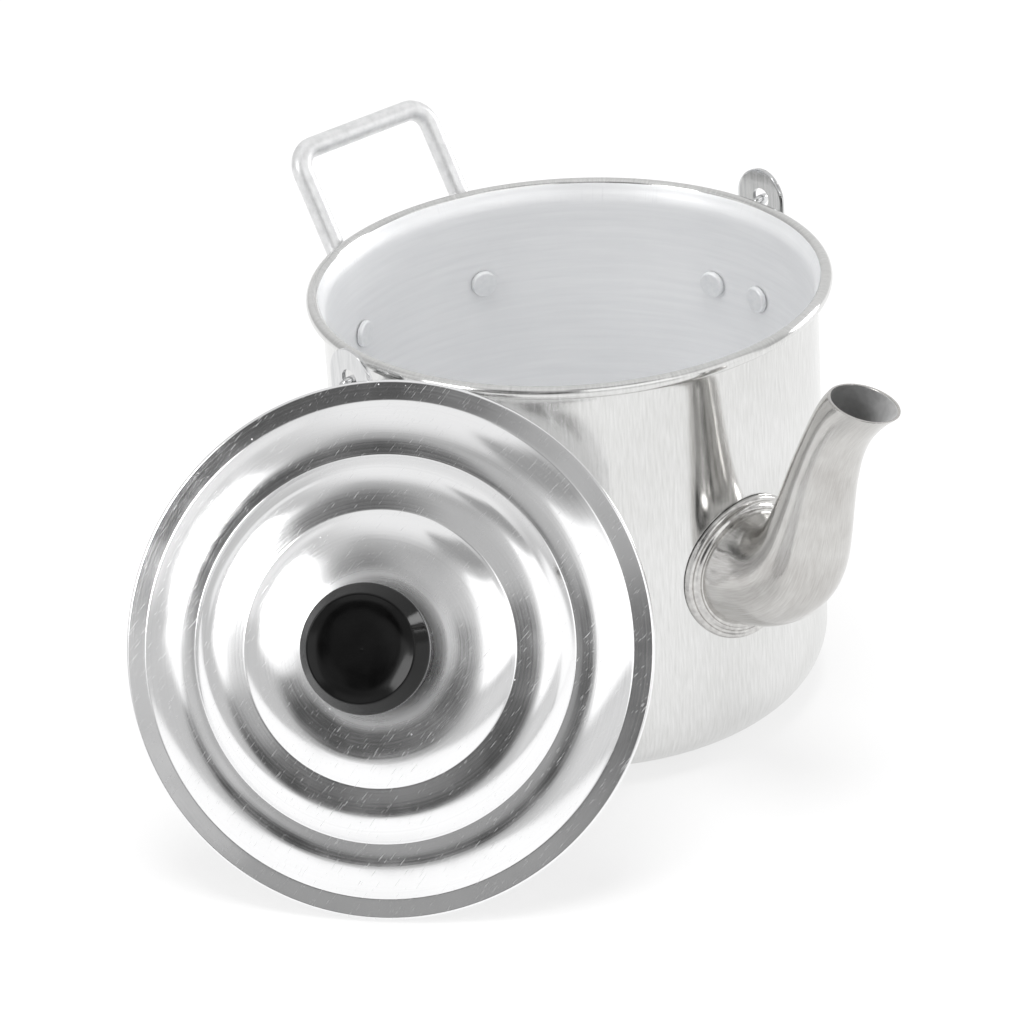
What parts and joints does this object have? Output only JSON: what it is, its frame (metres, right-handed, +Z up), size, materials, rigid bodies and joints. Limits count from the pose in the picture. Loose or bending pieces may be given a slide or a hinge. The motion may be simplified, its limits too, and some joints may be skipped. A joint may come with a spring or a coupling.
{
  "type": "camping teapot",
  "caption": "Straight-sided aluminium camping teapot with a drawn spout and strainer, wire bail, fixed rod handle, and a stepped lid with a black knob leaning on the pot.",
  "frame": {"origin": "centre of the pot's flat base, on the surface it stands on", "axes": "+Z up, +X towards the spout, -X towards the rod handle, +Y and -Y towards the two bail ears"},
  "size_m": [0.276, 0.3037, 0.1896],
  "materials": {
    "pot_aluminium": "satin, fine cross scratches from spinning and finishing",
    "spout_aluminium": "satin, softly polished",
    "collar_aluminium": "polished on its ridges",
    "ear_aluminium": "polished",
    "rivet_aluminium": "matt",
    "handle_aluminium": "matt, tumbled",
    "bail_steel": "bright drawn wire",
    "lid_aluminium": "mirror polished, circular polishing marks",
    "knob_plastic": "gloss black moulding",
    "insert_brass": "machined",
    "screw_steel": "zinc plated"
  },
  "bodies": {
    "pot": {"pot_body": "pot_aluminium", "spout": "spout_aluminium", "spout_collar": "collar_aluminium", "ear_left": "ear_aluminium", "ear_right": "ear_aluminium", "ear_rivet_left_front": "rivet_aluminium", "ear_rivet_left_back": "rivet_aluminium", "ear_rivet_right_front": "rivet_aluminium", "ear_rivet_right_back": "rivet_aluminium", "handle_rivet_left": "rivet_aluminium", "handle_rivet_right": "rivet_aluminium", "side_handle": "handle_aluminium"},
    "bail": {"bail_wire": "bail_steel"},
    "lid": {"lid_shell": "lid_aluminium", "knob": "knob_plastic", "knob_insert": "insert_brass", "knob_washer": "screw_steel", "knob_screw": "screw_steel"}
  },
  "joints": [
    {"name": "bail_hinge", "type": "hinge", "parent": "pot", "child": "bail", "pos_m": [-0.002, 0, 0.1548], "axis": [0, 1, 0], "range_deg": [0, 195]},
    {"name": "lid_pull", "type": "slide", "parent": "pot", "child": "lid", "axis": [0.5192, -0.7068, 0.4805], "range_m": [0, 0.15]}
  ]
}
